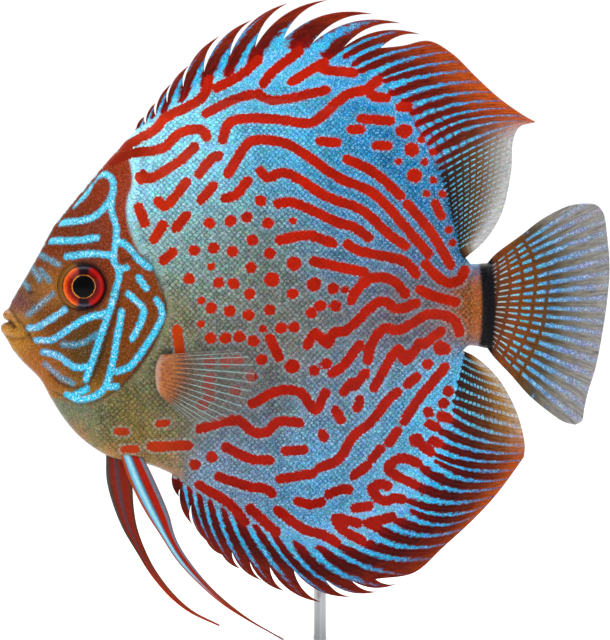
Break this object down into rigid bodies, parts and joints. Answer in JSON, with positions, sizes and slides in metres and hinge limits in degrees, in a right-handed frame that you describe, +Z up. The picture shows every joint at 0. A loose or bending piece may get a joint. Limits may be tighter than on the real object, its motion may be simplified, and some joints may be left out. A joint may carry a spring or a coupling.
{
  "type": "discus fish museum model",
  "caption": "Life-size still model of a tall, flat, blue and red banded discus fish with fringed fins, held over a flat plate by a short rod.",
  "frame": {"origin": "centre of the stand plate's underside, which the part rests on, under the middle of the fish's length", "axes": "+Z up, +X from the snout to the tail, +Y to the fish's right; the left flank, the pictured one, faces -Y"},
  "size_m": [0.1521, 0.066, 0.1667],
  "materials": {
    "scaled_skin": "wet-looking scaled skin, cyan to steel blue with red bands and spots",
    "head_skin": "smooth wet-looking brown skin with glittering cyan lines",
    "fin_membrane": "thin rayed membrane, maroon and orange-red with blue streaks",
    "clear_fin_membrane": "thin rayed half-clear membrane with rows of pale blue dashes",
    "eye": "clear polished dome over a red iris and a black pupil",
    "stand_plate": "white cast acrylic, satin top",
    "stand_rod": "brushed along its length"
  },
  "bodies": {
    "root": {"head": "head_skin", "upper_jaw": "head_skin", "lower_jaw": "head_skin", "gill_cover_left": "head_skin", "gill_cover_right": "head_skin", "eye_left": "eye", "eye_right": "eye", "trunk": "scaled_skin", "tail_stalk": "scaled_skin", "dorsal_fin_spiny": "fin_membrane", "dorsal_fin_soft": "fin_membrane", "anal_fin_spiny": "fin_membrane", "anal_fin_soft": "fin_membrane", "tail_fin": "clear_fin_membrane", "pectoral_fin_left": "clear_fin_membrane", "pectoral_fin_right": "clear_fin_membrane", "pelvic_fin_left": "fin_membrane", "pelvic_fin_right": "fin_membrane", "stand_base": "stand_plate", "stand_rod": "stand_rod"}
  },
  "joints": []
}
